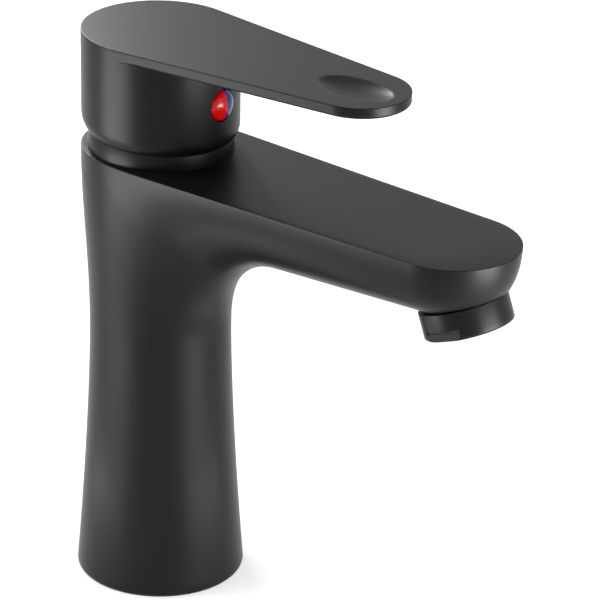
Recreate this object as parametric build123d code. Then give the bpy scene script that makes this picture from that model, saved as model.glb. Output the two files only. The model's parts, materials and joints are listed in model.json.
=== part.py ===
from build123d import *
import os
from math import cos, radians, sin, sqrt, tan

os.makedirs("parts", exist_ok=True)

# Millimetres, +Z up, origin on the column axis at the deck, spout along +X

# Clearances
seat_gap = 0.1       # radial play of pieces that are slipped into a seat
run_gap = 0.05       # radial play of turning and sliding fits
free_gap = 0.35      # space between bodies that pass each other

# Body outline
top_z = 137.4        # top of the body at the column axis
top_slope = 1.3      # degrees that the top falls towards the spout tip
base_r = 25.5
waist_r = 21.15
waist_z = 79.0
shoulder_r = 23.75
spout_len = 104.3    # column axis to the centre of the spout's round tip
spout_root_w = 23.65 # half width of the top at the column axis
spout_tip_r = 20.0
spout_root_h = 24.4  # depth of the spout where it leaves the column
spout_tip_h = 20.6
bend_r = 30.0        # hollow curve under the spout
over_h = 40.0        # height built over the top before it is cut flat
crown = 1.5          # widest line of the ovals above the cut top
tip_full = 0.7       # fullness of the spout's tip, 0.55 for a plain ellipse
foot_round = 1.8
rim_round = 0.5

# Water passages
cavity_r = 17.4      # open foot of the column
block_z = 84.0       # underside of the inlet block that takes the hoses
block_flange_h = 3.0
floor_drop = 29.0    # cup floor, the inlet block's upper face, below the top
cup_r = 18.6
nut_bore_r = 19.2
nut_bore_h = 6.2
inlet_x = 4.0
inlet_y = 8.0
inlet_r = 4.5        # tapping size of the hose thread
inlet_len = 12.0
port_r = 3.0
way_root = (16.0, 18.0, 14.0, 6.5)    # waterway: x, depth under the top, half width, half height
way_mid = (42.0, 10.6, 15.5, 6.5)
way_end = (spout_len, 7.3, 12.0, 4.5)
stud_x = -10.5
stud_r = 3.4         # tapping size of the fixing stud
stud_len = 16.0
peg_x = -11.0
peg_y = 8.0
peg_r = 1.7
peg_len = 3.0

# Outlet
ring_ahead = 4.6     # centre of the outlet ring's upper face beyond the tip's centre
ring_drop = 16.7     # the same point under the spout's top
ring_lean = 20.0     # degrees that the stream leans away from the column
ring_r = 13.0
ring_h = 8.2
ring_round = 0.9
neck_r = 12.4
neck_gap = 0.4       # shadow line above the ring
spigot_r = 10.4
spigot_h = 6.0
screen_r = 9.4
lip_r = 8.2
lip_h = 1.2
way_in = 3.4         # bore beyond the washer, into the waterway
insert_h = 8.0
insert_floor = 2.0
insert_wall = 1.0
screen_h = 0.8
washer_h = 1.6
flat_y = 11.7        # spanner flats on the ring
flat_h = 3.1
jet_r = 1.2
jet_ring_r = (0.0, 3.1, 6.4)
jet_counts = (1, 4, 8)

# Gasket in the foot
gasket_in = 20.2
gasket_out = 22.8
gasket_h = 2.0

# Cartridge levels, measured from the pivot at the body top
pivot_z = top_z
floor_z = top_z - floor_drop
ledge_z = floor_z - block_flange_h
base_lift = 0.5      # space under the cartridge base, closed by the port seals
base_h = 5.5
base_neck_h = 3.0    # upper part of the base, inside the housing
seal_h = 0.8
disc_h = 3.5
carrier_h = 5.6
house_r = 17.5
house_in = 15.4
flange_h = 4.3
house_neck_r = 16.5
house_top = 4.0
turret_neck_r = 13.2
turret_top = 7.0
turret_flange_h = 2.4
disc_seal_r = 12.8
slider_r = 11.4
disc_port_x = 3.0
disc_port_y = 6.0
disc_port_r = 2.4
outlet_x = -6.0
outlet_r = 3.2
window_w = 9.0
recess_x = -8.6
recess_w = 12.0
recess_h = 1.8
port_seal_r = 4.6
port_seal_h = 1.3    # part of the port seals that sits in the base
rib_r = 1.3
lug_y = 8.8
lug_r = 1.2
lug_h = 2.0
rail_y = 8.0
rail_w = 2.0
rail_h = 1.6
film = 0.02          # water film between the two discs
stem_arm = 11.0      # pivot to the ball that drives the sliding disc
ball_r = 2.6
shank_r = 2.2
pin_r = 1.5
pin_len = 22.0
stem_y = 7.0
stem_x = 8.0
stem_top = 27.0
stem_foot = -5.0
stem_swing = 2.5     # space for the stem in the turret's slot, front and back
nut_top = 3.0
nut_slot_w = 4.0
nut_slot_h = 2.0
seal_cord = 0.7

# Collar
dome_r = 21.6        # ball shape about the pivot, under the handle's rim
collar_h = 9.5
collar_lip_z = 5.0

# Handle
handle_r = 23.2
handle_rise = 36.0   # top of the handle over the body top, at the column axis
handle_slope = 1.15  # degrees that the lever falls towards its tip
lever_len = 71.3     # column axis to the centre of the lever's round tip
lever_tip_r = 14.9
lever_h = 3.3
rim_rise = 5.6       # rim of the cap over the body top, at the column axis
rim_slope = 4.4      # degrees that the rim falls towards the front
rim_bevel_h = 4.5
rim_bevel_w = 1.4
lever_round = 0.8
handle_in_r = 19.5
roof_h = 5.4
boss_r = 8.5
boss_rise = 13.1
dimple_x = 70.3
dimple_l = 23.0
dimple_w = 13.0
dimple_d = 1.3

# Index mark and the screw behind it
index_rise = 17.8    # over the body top
index_r = 5.0
index_depth = 4.0
index_dome = 1.0
index_edge = 0.3     # edge of the button inside the cap's front line
plug_h = 2.0
screw_r = 2.5
screw_len = 10.0
screw_tube_r = 5.6
screw_socket_r = 1.25
screw_socket_l = 3.0


def cyl(r, z_lo, z_hi, x=0, y=0):
    return Pos(x, y, z_lo) * Cylinder(r, z_hi - z_lo, align=(Align.CENTER, Align.CENTER, Align.MIN))


def ring(r_out, r_in, z_lo, z_hi, x=0, y=0):
    return cyl(r_out, z_lo, z_hi, x, y) - cyl(r_in, z_lo, z_hi, x, y)


def leaning(x, z, lean):
    """Plane over the XZ point, its X falling by the lean in degrees."""
    c = cos(radians(lean))
    s = sin(radians(lean))
    return Plane(origin=(x, 0, z), x_dir=(c, 0, -s), z_dir=(s, 0, c))


def above(z, slope):
    """Everything over a plane that falls towards +X."""
    return leaning(0, z, slope) * Box(500, 200, 240, align=(Align.CENTER, Align.CENTER, Align.MIN))


def below(z, slope):
    """Everything under a plane that falls towards +X."""
    return leaning(0, z, slope) * Box(500, 200, 240, align=(Align.CENTER, Align.CENTER, Align.MAX))


def block(x_lo, x_hi, w, z_lo, z_hi, y=0):
    return Pos((x_lo + x_hi) / 2, y, (z_lo + z_hi) / 2) * Box(x_hi - x_lo, w, z_hi - z_lo)


def rod(r, x_lo, x_hi, z):
    """Round bar along X."""
    return Pos(x_lo, 0, z) * Rot(0, 90, 0) * cyl(r, 0, x_hi - x_lo)


def teardrop(r_root, r_tip, length):
    """Round root at the origin, round tip on +X, joined by tangent sides."""
    side = (r_root - r_tip) / length
    up = sqrt(1 - side * side)
    root = ((r_root * side, r_root * up), (-r_root, 0), (r_root * side, -r_root * up))
    tip_lo = (length + r_tip * side, -r_tip * up)
    tip_hi = (length + r_tip * side, r_tip * up)
    outline = ThreePointArc(*root)
    outline += Line(root[2], tip_lo)
    outline += ThreePointArc(tip_lo, (length + r_tip, 0), tip_hi)
    outline += Line(tip_hi, root[0])
    return make_face(outline)


# Body casting: a turned column, a fan of ovals through the bend and a tapering spout

def top_at(x):
    return top_z - x * tan(radians(top_slope))


def crown_at(x):
    return top_at(x) + crown


def column_r(z):
    if z < waist_z:
        return waist_r + (base_r - waist_r) * (1 - z / waist_z) ** 1.5
    t = min((z - waist_z) / (top_z - waist_z), 1.0)
    return waist_r + (shoulder_r - waist_r) * (t * t * (3 - 2 * t)) ** 1.2


def spout_w(x):
    return spout_root_w + (spout_tip_r - spout_root_w) * x / spout_len


def oval(x, z, lean, under, over, across):
    """Closed oval on a plane leaning about Y, deeper or shallower on its under side than over."""
    arcs = []
    for start, depth in ((0, under), (90, over), (180, over), (270, under)):
        arcs.append(EllipticalCenterArc((0, 0), depth, across, start_angle=start, arc_size=90))
    return leaning(x, z, lean) * Wire(arcs)


def full_quarter(deep, wide):
    """Control points of a quarter oval fuller than an ellipse, from its deepest to its widest point."""
    return (deep, 0), (deep, tip_full * wide), (tip_full * deep, wide), (0, wide)


def tip_oval(under, across):
    """Section of the spout where its round tip starts."""
    arcs = [Bezier(*full_quarter(under, across))]
    for start in (90, 180):
        arcs.append(EllipticalCenterArc((0, 0), over_h, across, start_angle=start, arc_size=90))
    arcs.append(Bezier(*reversed(full_quarter(under, -across))))
    return leaning(spout_len, crown_at(spout_len), 90) * Wire(arcs)


bend_z = top_z - spout_root_h - bend_r
bend_x = column_r(bend_z) + bend_r


def bend_oval(lean):
    """Oval through the bend: centred on the column axis at first, on the spout's top at last."""
    c = cos(radians(lean))
    s = sin(radians(lean))
    to_axis = c / bend_x
    to_top = max(s - c * tan(radians(top_slope)), 0) / (crown_at(bend_x) - bend_z)
    mid = (to_axis ** 6 + to_top ** 6) ** (-1 / 6)
    x = bend_x - mid * c
    z = bend_z + mid * s
    over = column_r(bend_z)
    for step in range(6):
        over = min((bend_x + column_r(z + over * s)) / max(c, 0.1) - mid, over_h)
    return oval(x, z, lean, mid - bend_r, over, min(column_r(z), spout_w(max(x, 0))))


foot = [(column_r(bend_z * k / 8), bend_z * k / 8) for k in range(9)]
half = make_face(Spline(*foot) + Polyline(foot[-1], (0, bend_z), (0, 0), foot[0]))
column = revolve(Plane.XZ * half, Axis.Z)
bend = Solid.make_loft([bend_oval(lean) for lean in range(0, 91, 10)])
root_h = crown_at(bend_x) - bend_z - bend_r
tip_h = spout_tip_h + crown
spout_ends = [
    oval(bend_x, crown_at(bend_x), 90, root_h, over_h, spout_w(bend_x)),
    tip_oval(tip_h, spout_w(spout_len)),
]
spout = Solid.make_loft(spout_ends)
tip_arc = Bezier(*[(w, -d) for d, w in full_quarter(tip_h, spout_tip_r)])
tip_face = make_face(tip_arc + Polyline((spout_tip_r, 0), (0, 0), (0, -tip_h)))
tip = revolve(Plane.XZ * tip_face, Axis.Z, 180)
tip = Pos(spout_len, 0, crown_at(spout_len)) * (Rot(0, 0, -90) * tip)
top_waste = above(top_z, top_slope)
outer = column + (bend - top_waste) + (spout - top_waste) + (tip - top_waste)
outer = fillet(outer.faces().sort_by(Axis.Z)[0].outer_wire().edges(), foot_round)

# Outlet frame: its -Z is the stream, its origin the middle of the ring's upper face
outlet = leaning(spout_len + ring_ahead, top_at(spout_len) - ring_drop, -ring_lean)
washer_top = spigot_h + washer_h
neck = cyl(neck_r, neck_gap, spigot_h)
spotface = cyl(ring_r + neck_gap, -ring_h, neck_gap)
outlet_bore = cyl(spigot_r + seat_gap, 0, washer_top) + cyl(lip_r, 0, washer_top + way_in)


def passage(x, drop, across, tall):
    return oval(x, top_at(x) - drop, 90, tall, tall, across)


waterway = Solid.make_loft([passage(*way_root), passage(*way_mid), passage(*way_end)])
casting = outer + outlet * neck - outlet * spotface - outlet * outlet_bore - waterway
casting -= cyl(cavity_r, 0, top_z)
casting -= ring(gasket_out, gasket_in, 0, gasket_h)
casting -= cyl(cup_r, ledge_z, top_z)
casting -= cyl(nut_bore_r, top_z - nut_bore_h, top_z + 5)
base_gasket = ring(gasket_out, gasket_in, 0, gasket_h)


def round_seal(r, z):
    """Sealing ring of square cord, or its groove, reaching out to r."""
    return ring(r, r - 2 * seal_cord, z - seal_cord, z + seal_cord)


# Inlet block: dropped in from above, its flange on the ledge under the cup
block_seal_z = (block_z + ledge_z) / 2
inlet_block = cyl(cavity_r - seat_gap, block_z, ledge_z) + cyl(cup_r - seat_gap, ledge_z, floor_z)
inlet_block -= round_seal(cavity_r, block_seal_z)
inlet_block -= cyl(stud_r, block_z, block_z + stud_len, stud_x)
for side in (-1, 1):
    inlet_block -= cyl(inlet_r, block_z, block_z + inlet_len, inlet_x, side * inlet_y)
    inlet_block -= cyl(port_r, block_z, floor_z, inlet_x, side * inlet_y)
    inlet_block -= cyl(peg_r + seat_gap, floor_z - peg_len - seat_gap, floor_z, peg_x, side * peg_y)
block_seal = round_seal(cavity_r, block_seal_z)

# Outlet ring with its washer, insert and screen
seat_z = lip_h - ring_h
aerator = fillet(cyl(ring_r, -ring_h, 0).edges().group_by(Axis.Z)[0], ring_round)
aerator += cyl(spigot_r, 0, spigot_h)
aerator -= cyl(lip_r, -ring_h, 0)
aerator -= cyl(screen_r + seat_gap, seat_z, spigot_h)
for side in (-1, 1):
    aerator -= block(-ring_r, ring_r, 4, -ring_h, flat_h - ring_h, side * (flat_y + 2))


def jets(z_lo, z_hi):
    """Round holes on rings about the outlet axis."""
    holes = []
    for radius, count in zip(jet_ring_r, jet_counts):
        for place in PolarLocations(radius, count):
            holes.append(place * cyl(jet_r, z_lo, z_hi))
    return holes


aerator_screen = cyl(screen_r, seat_z, seat_z + screen_h) - jets(seat_z, seat_z + screen_h)
insert_lo = seat_z + screen_h
aerator_insert = cyl(screen_r, insert_lo, insert_lo + insert_h)
aerator_insert -= cyl(screen_r - insert_wall, insert_lo + insert_floor, insert_lo + insert_h)
aerator_insert -= jets(insert_lo, insert_lo + insert_floor)
aerator_washer = ring(spigot_r, lip_r + seat_gap, spigot_h, washer_top)

# Cartridge: base, seals and fixed disc, bottom upwards
base_lo = floor_z + base_lift
base_hi = base_lo + base_h
house_lo = base_hi - base_neck_h
cartridge_base = cyl(house_r, base_lo, house_lo) + cyl(house_in - seat_gap, house_lo, base_hi)
cartridge_base -= cyl(outlet_r, house_lo, base_hi, outlet_x)
cartridge_base -= block(-house_r - 1, outlet_x, 2 * outlet_r, house_lo, base_hi)
port_seals = {}
for side, name in ((-1, "hot_port_seal"), (1, "cold_port_seal")):
    cartridge_base += cyl(peg_r, floor_z - peg_len, base_lo, peg_x, side * peg_y)
    cartridge_base -= cyl(port_r, base_lo, house_lo, inlet_x, side * inlet_y)
    cartridge_base -= cyl(disc_port_r, house_lo - 1, base_hi, disc_port_x, side * disc_port_y)
    cartridge_base -= cyl(port_seal_r, base_lo, base_lo + port_seal_h, inlet_x, side * inlet_y)
    port_seals[name] = ring(port_seal_r, port_r, floor_z, base_lo + port_seal_h, inlet_x, side * inlet_y)


def disc_ports(z_lo, z_hi):
    ports = [cyl(outlet_r, z_lo, z_hi, outlet_x)]
    for side in (-1, 1):
        ports.append(cyl(disc_port_r, z_lo, z_hi, disc_port_x, side * disc_port_y))
    return ports


fixed_lo = base_hi + seal_h
fixed_hi = fixed_lo + disc_h
disc_seal = cyl(disc_seal_r, base_hi, fixed_lo) - disc_ports(base_hi, fixed_lo)
fixed_disc = cyl(house_in - 2 * seat_gap, fixed_lo, fixed_hi) - disc_ports(fixed_lo, fixed_hi)

# Sliding disc and its carrier
slide_lo = fixed_hi + film
carrier_lo = slide_lo + disc_h
carrier_hi = carrier_lo + carrier_h
turret_lo = carrier_hi + free_gap
turret_neck_lo = turret_lo + turret_flange_h
rail_lo = turret_lo - rail_h
ball_z = pivot_z - stem_arm
moving_disc = cyl(slider_r, slide_lo, carrier_lo)
moving_disc -= block(recess_x, 0, recess_w, slide_lo, slide_lo + recess_h)
disc_carrier = cyl(slider_r, carrier_lo, carrier_hi)
disc_carrier -= cyl(ball_r + run_gap, ball_z - ball_r - free_gap, carrier_hi)
for side in (-1, 1):
    fixed_disc -= cyl(rib_r + seat_gap, fixed_lo, fixed_hi, 0, side * house_in)
    moving_disc -= cyl(lug_r + seat_gap, carrier_lo - lug_h - seat_gap, carrier_lo, 0, side * lug_y)
    disc_carrier += cyl(lug_r, carrier_lo - lug_h, carrier_lo, 0, side * lug_y)
    groove_w = rail_w + 2 * run_gap
    disc_carrier -= block(-slider_r, slider_r, groove_w, rail_lo - free_gap, carrier_hi, side * rail_y)

# Housing, its seal and the nut that clamps it
flange_hi = top_z - nut_bore_h
flange_lo = flange_hi - flange_h
house_hi = pivot_z + house_top
flange_r = cup_r - seat_gap
shoulder_z = turret_neck_lo + free_gap
groove_z = (flange_lo + flange_hi) / 2
cartridge_housing = cyl(house_r, house_lo, flange_lo) + cyl(flange_r, flange_lo, flange_hi)
cartridge_housing += cyl(house_neck_r, flange_hi, house_hi)
cartridge_housing -= cyl(house_in, house_lo, shoulder_z)
cartridge_housing -= cyl(turret_neck_r, shoulder_z, house_hi)
cartridge_housing -= round_seal(cup_r, groove_z)
cartridge_housing -= block(-house_r - 1, 0, window_w, house_lo, fixed_hi)
for side in (-1, 1):
    rib = cyl(rib_r, base_hi, fixed_hi, 0, side * house_in) & cyl(house_r, base_hi, fixed_hi)
    cartridge_housing += rib
housing_seal = round_seal(cup_r, groove_z)
nut_hi = pivot_z + nut_top
retaining_nut = ring(nut_bore_r - seat_gap, house_neck_r + seat_gap, flange_hi, nut_hi)
for turn in (0, 90):
    retaining_nut -= Rot(0, 0, turn) * block(-25, 25, nut_slot_w, nut_hi - nut_slot_h, nut_hi)

# Turret with the pivot pin
slot_x = stem_x / 2 + stem_swing
turret_hi = pivot_z + turret_top
turret = cyl(house_in - free_gap, turret_lo, turret_neck_lo)
turret += cyl(turret_neck_r - run_gap, turret_neck_lo, turret_hi)
for side in (-1, 1):
    turret += block(-slot_x, slot_x, rail_w, rail_lo, turret_lo, side * rail_y)
turret -= block(-slot_x, slot_x, stem_y + 2 * seat_gap, turret_lo, turret_hi)


def pivot_bar(r, length):
    return Pos(0, 0, pivot_z) * Rot(90, 0, 0) * Cylinder(r, length)


turret -= pivot_bar(pin_r, pin_len)
pivot_pin = pivot_bar(pin_r, pin_len)

# Stem: a square bar on the pivot with a ball foot
stem_hi = pivot_z + stem_top
lever_stem = block(-stem_x / 2, stem_x / 2, stem_y, pivot_z + stem_foot, stem_hi)
lever_stem += cyl(shank_r, ball_z, pivot_z + stem_foot)
lever_stem += Pos(0, 0, ball_z) * Sphere(ball_r)
lever_stem -= pivot_bar(pin_r + run_gap, pin_len)

# Collar: ball-shaped band on the sloping body top, clear of the nut and the housing
ball = Pos(0, 0, pivot_z) * Sphere(dome_r)
collar = ball & cyl(dome_r, pivot_z - 2, pivot_z + collar_h)
collar -= below(top_z, top_slope)
collar -= cyl(nut_bore_r + free_gap, top_z - 2, pivot_z + collar_lip_z)
collar -= cyl(house_neck_r + 2 * free_gap, top_z - 2, pivot_z + collar_h)

# Handle: cap and lever cut flat on top, with a beveled rim that slopes to the front
handle_top_z = top_z + handle_rise
handle_rim_z = top_z + rim_rise
handle_ceiling = handle_top_z - roof_h
boss_z = top_z + boss_rise
index_z = top_z + index_rise
drop = extrude(Pos(0, 0, index_z) * teardrop(handle_r, lever_tip_r, lever_len), handle_rise)
plate = drop - above(handle_top_z, handle_slope) - below(handle_top_z - lever_h, handle_slope)
plate = fillet(plate.faces().sort_by(Axis.Z)[0].outer_wire().edges(), lever_round)
cap = cyl(handle_r, handle_rim_z - 5, handle_top_z - lever_h / 2) - below(handle_rim_z, rim_slope)
cap_rim = cap.faces().sort_by(Axis.Z)[0]
cap = chamfer(cap_rim.outer_wire().edges(), rim_bevel_w, rim_bevel_h, reference=cap_rim)
handle = plate + cap
crown_face = handle.faces().filter_by(lambda f: f.normal_at().Z > 0.99).sort_by(SortBy.AREA)[-1]
handle = fillet(crown_face.outer_wire().edges(), rim_round)
hollow = Pos(0, 0, pivot_z) * Sphere(dome_r + free_gap)
hollow += cyl(handle_in_r, pivot_z, handle_ceiling)
hollow -= cyl(boss_r, boss_z, handle_ceiling)
hollow -= rod(screw_tube_r, 0, handle_r, index_z)
handle -= hollow
handle -= block(-stem_x / 2 - seat_gap, stem_x / 2 + seat_gap, stem_y + 2 * seat_gap, boss_z - 2, stem_hi)
handle -= rod(screw_r, 0, handle_r, index_z)
index_seat = handle_r - index_depth
handle -= rod(index_r, index_seat, handle_r + 1, index_z)
dimple = scale(Sphere(1), by=(dimple_l / 2, dimple_w / 2, dimple_d))
handle -= leaning(0, handle_top_z, handle_slope) * Pos(dimple_x, 0, 0) * dimple

# Set screw behind the index mark
screw_lo = stem_x / 2
set_screw = rod(screw_r, screw_lo, screw_lo + screw_len, index_z)
socket = extrude(RegularPolygon(screw_socket_r, 6), screw_socket_l)
set_screw -= Pos(screw_lo + screw_len - screw_socket_l, 0, index_z) * Rot(0, 90, 0) * socket

# Index mark: a plug with a red and a blue half under a shallow dome
index_plug = rod(index_r - seat_gap, index_seat, index_seat + plug_h, index_z)
button_r = index_r - seat_gap
button_h = index_depth - plug_h
dome_top = (0, button_h + index_dome)
dome_edge = (button_r, button_h - index_edge)
dome_arc = TangentArc(dome_top, dome_edge, tangent=(1, 0))
button_face = make_face(dome_arc + Polyline(dome_edge, (button_r, 0), (0, 0), dome_top))
button = revolve(Plane.XZ * button_face, Axis.Z)
button = Pos(index_seat + plug_h, 0, index_z) * Rot(0, 90, 0) * button
half_box = block(0, 2 * handle_r, 2 * index_r, index_z - index_r, index_z + index_r, index_r)
index_red = button - half_box
index_blue = button & half_box

nodes = {
    "body_casting": casting,
    "base_gasket": base_gasket,
    "inlet_block": inlet_block,
    "block_seal": block_seal,
    "cartridge_base": cartridge_base,
    "disc_seal": disc_seal,
    "fixed_disc": fixed_disc,
    "moving_disc": moving_disc,
    "disc_carrier": disc_carrier,
    "cartridge_housing": cartridge_housing,
    "housing_seal": housing_seal,
    "retaining_nut": retaining_nut,
    "turret": turret,
    "pivot_pin": pivot_pin,
    "lever_stem": lever_stem,
    "collar": collar,
    "handle": handle,
    "set_screw": set_screw,
    "index_plug": index_plug,
    "index_red": index_red,
    "index_blue": index_blue,
    "aerator_ring": outlet * aerator,
    "aerator_washer": outlet * aerator_washer,
    "aerator_insert": outlet * aerator_insert,
    "aerator_screen": outlet * aerator_screen,
}
nodes.update(port_seals)
for name, shape in nodes.items():
    export_step(shape, f"parts/{name}.step")
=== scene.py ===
import json
from contextlib import contextmanager
from math import cos, pi, radians, sin, tan

import bmesh
import bpy
import numpy as np
from bpy.props import FloatProperty, FloatVectorProperty, PointerProperty
from bpy.types import Operator, Panel, PropertyGroup
from mathutils import Matrix, Vector

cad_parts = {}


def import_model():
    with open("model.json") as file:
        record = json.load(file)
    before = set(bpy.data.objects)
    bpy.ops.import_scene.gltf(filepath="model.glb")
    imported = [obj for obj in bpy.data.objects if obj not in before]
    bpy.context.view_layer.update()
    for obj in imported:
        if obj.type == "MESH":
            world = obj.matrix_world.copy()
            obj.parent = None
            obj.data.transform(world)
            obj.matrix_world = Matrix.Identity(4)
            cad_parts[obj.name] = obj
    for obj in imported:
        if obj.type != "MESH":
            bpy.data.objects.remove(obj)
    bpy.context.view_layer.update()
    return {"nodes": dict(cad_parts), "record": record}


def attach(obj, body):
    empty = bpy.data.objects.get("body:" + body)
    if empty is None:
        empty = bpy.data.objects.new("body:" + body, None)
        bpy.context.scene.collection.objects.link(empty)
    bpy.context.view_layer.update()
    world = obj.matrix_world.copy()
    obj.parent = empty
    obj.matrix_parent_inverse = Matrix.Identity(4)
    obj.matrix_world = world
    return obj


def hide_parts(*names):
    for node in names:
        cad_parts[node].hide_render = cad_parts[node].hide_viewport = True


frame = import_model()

bl_info = {
    "name": "Basin mixer dressing",
    "version": (1, 0, 0),
    "blender": (4, 5, 0),
    "location": "View3D > Sidebar > Mixer",
    "description": "Skins, finishes and a studio for a single-lever basin mixer",
    "category": "Object",
}

# Bodies of the frame that carry the skins
BODY = "mixer_body"
LEVER = "lever_group"

RIGHT_ANGLE = 0.5 * pi
TINY = 1e-9


# Property helpers

def length(name, description, default):
    """A size in metres."""
    return FloatProperty(name=name, description=description, default=default, unit="LENGTH", precision=5)


def angle(name, description, degrees):
    """An angle, written in degrees and kept in radians."""
    return FloatProperty(name=name, description=description, default=radians(degrees), subtype="ANGLE")


def colour(name, description, default):
    """A linear colour."""
    return FloatVectorProperty(name=name, description=description, default=default, size=3,
                               subtype="COLOR", min=0.0, max=1.0)


def share(name, description, default):
    """A number between nought and one."""
    return FloatProperty(name=name, description=description, default=default, min=0.0, max=1.0,
                         subtype="FACTOR")


class MixerBodySizes(PropertyGroup):
    """Outline and bores of the body casting."""
    top_z: length("Top", "Height of the flat top on the column axis", 0.1374)
    top_slope: angle("Top slope", "Fall of the top towards the spout tip", 1.3)
    base_r: length("Foot radius", "Column radius at the deck", 0.0255)
    waist_r: length("Waist radius", "Smallest column radius", 0.02115)
    waist_z: length("Waist height", "Height of the smallest radius", 0.0790)
    shoulder_r: length("Shoulder radius", "Column radius at the top", 0.02375)
    spout_len: length("Spout length", "Column axis to the centre of the round tip", 0.1043)
    root_w: length("Root half width", "Half width of the top at the column axis", 0.02365)
    tip_r: length("Tip radius", "Radius of the spout's round tip", 0.0200)
    root_h: length("Root depth", "Depth of the spout where it leaves the column", 0.0251)
    tip_h: length("Tip depth", "Depth of the spout at its tip", 0.0199)
    bend_r: length("Bend radius", "Hollow curve under the spout", 0.0300)
    over_h: length("Oval height", "Height of the ovals over the top before it is cut", 0.0400)
    crown: length("Crown", "Widest line of the ovals over the cut top", 0.0015)
    tip_full: share("Tip fullness", "Fullness of the tip's section, 0.55 for a plain ellipse", 0.7)
    foot_round: length("Foot rounding", "Rounding of the foot's outer edge", 0.0018)
    edge_round: length("Edge rounding", "Rounding of the flat top's edge", 0.0002)
    nut_bore_r: length("Nut bore", "Radius of the nut's bore", 0.0192)
    nut_bore_h: length("Nut bore depth", "Depth of the nut's bore", 0.0062)
    cup_r: length("Cup radius", "Radius of the cartridge cup", 0.0186)
    ledge_z: length("Ledge", "Height of the ledge under the inlet block", 0.1054)
    cavity_r: length("Cavity radius", "Radius of the open foot", 0.0174)
    gasket_in: length("Gasket inside", "Inner radius of the gasket's groove", 0.0202)
    gasket_out: length("Gasket outside", "Outer radius of the gasket's groove", 0.0228)
    gasket_h: length("Gasket depth", "Depth of the gasket's groove", 0.0020)


class MixerOutletSizes(PropertyGroup):
    """Outlet ring and the neck that it screws into."""
    ahead: length("Ahead", "Ring centre beyond the tip's centre", 0.0046)
    drop: length("Drop", "Ring centre under the spout's top", 0.0167)
    lean: angle("Lean", "Lean of the stream away from the column", 20.0)
    ring_r: length("Ring radius", "Outer radius of the ring", 0.0130)
    ring_h: length("Ring height", "Height of the ring", 0.0082)
    ring_round: length("Ring rounding", "Rounding of the ring's lower edge", 0.0009)
    top_round: length("Upper rounding", "Rounding of the ring's upper edge", 0.0003)
    neck_r: length("Neck radius", "Radius of the neck over the ring", 0.0124)
    neck_gap: length("Shadow line", "Gap between the ring and the spout", 0.0007)
    spigot_r: length("Spigot radius", "Radius of the part inside the spout", 0.0104)
    spigot_h: length("Spigot height", "Height of the part inside the spout", 0.0060)
    bore_r: length("Bore", "Bore that holds the insert", 0.0095)
    lip_r: length("Lip radius", "Opening under the insert", 0.0082)
    lip_h: length("Lip height", "Height of the lip", 0.0012)
    flat_y: length("Flat", "Distance of the spanner flats from the axis", 0.0117)
    flat_h: length("Flat height", "Height of the spanner flats", 0.0031)
    groove_h: length("Groove height", "Height of the fine groove over the spanner flats", 0.0008)
    groove_d: length("Groove depth", "Depth of the fine groove over the spanner flats", 0.0003)


class MixerHandleSizes(PropertyGroup):
    """Cap, lever and index mark."""
    cap_r: length("Cap radius", "Outer radius of the cap", 0.0232)
    rise: length("Rise", "Top of the handle over the body's top", 0.0360)
    slope: angle("Slope", "Fall of the lever towards its tip", 1.15)
    lever_len: length("Lever length", "Column axis to the centre of the lever's tip", 0.0713)
    tip_r: length("Lever tip radius", "Radius of the lever's round tip", 0.0149)
    lever_h: length("Lever height", "Thickness of the lever", 0.0033)
    lever_round: length("Lever rounding", "Rounding of the lever's lower edge", 0.0008)
    edge_round: length("Top rounding", "Rounding of the top's edge", 0.0002)
    rim_rise: length("Rim", "Rim of the cap over the body's top", 0.0056)
    rim_slope: angle("Rim slope", "Fall of the rim towards the front", 4.4)
    bevel_h: length("Bevel height", "Height over which the cap draws in", 0.0045)
    bevel_w: length("Bevel width", "How far the cap draws in at its rim", 0.0014)
    ball_r: length("Hollow ball", "Hollow over the collar, about the pivot", 0.02195)
    hollow_r: length("Hollow", "Radius of the cap's hollow", 0.0195)
    roof_h: length("Roof", "Thickness over the hollow", 0.0054)
    boss_r: length("Boss", "Radius of the boss that takes the stem", 0.0085)
    boss_rise: length("Boss foot", "Boss over the body's top", 0.0131)
    dimple_x: length("Dimple place", "Column axis to the middle of the finger dimple", 0.0703)
    dimple_l: length("Dimple length", "Length of the finger dimple", 0.0240)
    dimple_w: length("Dimple width", "Width of the finger dimple", 0.0136)
    dimple_d: length("Dimple depth", "Depth of the finger dimple", 0.0018)
    index_rise: length("Index height", "Middle of the index mark over the body's top", 0.0178)
    index_r: length("Index hole", "Radius of the hole for the index mark", 0.0050)
    index_depth: length("Index depth", "Depth of that hole", 0.0040)
    button_r: length("Button radius", "Radius of the index mark", 0.0047)
    button_h: length("Button height", "Height of the index mark's sides", 0.0017)
    button_dome: length("Button dome", "Height of the index mark's dome", 0.0020)
    plug_h: length("Plug", "Thickness of the plug behind the index mark", 0.0020)


class MixerCollarSizes(PropertyGroup):
    """Ball-shaped band between the body and the cap."""
    ball_r: length("Ball", "Radius of the band about the pivot", 0.0216)
    height: length("Height", "Height of the band", 0.0095)
    bore_r: length("Bore", "Bore over the nut", 0.01955)
    lip_r: length("Lip", "Opening over the cartridge", 0.0172)
    lip_z: length("Lip height", "Underside of the lip over the body's top", 0.0050)


class MixerFinishes(PropertyGroup):
    """Colours and gloss."""
    paint: colour("Paint", "Satin black paint", (0.004, 0.004, 0.0042))
    paint_rough: share("Paint roughness", "Roughness of the paint", 0.36)
    paint_specular: share("Paint specular", "Specular level of the paint", 0.13)
    red: colour("Hot mark", "Colour of the hot half", (0.65, 0.005, 0.005))
    blue: colour("Cold mark", "Colour of the cold half", (0.008, 0.014, 0.14))


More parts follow.
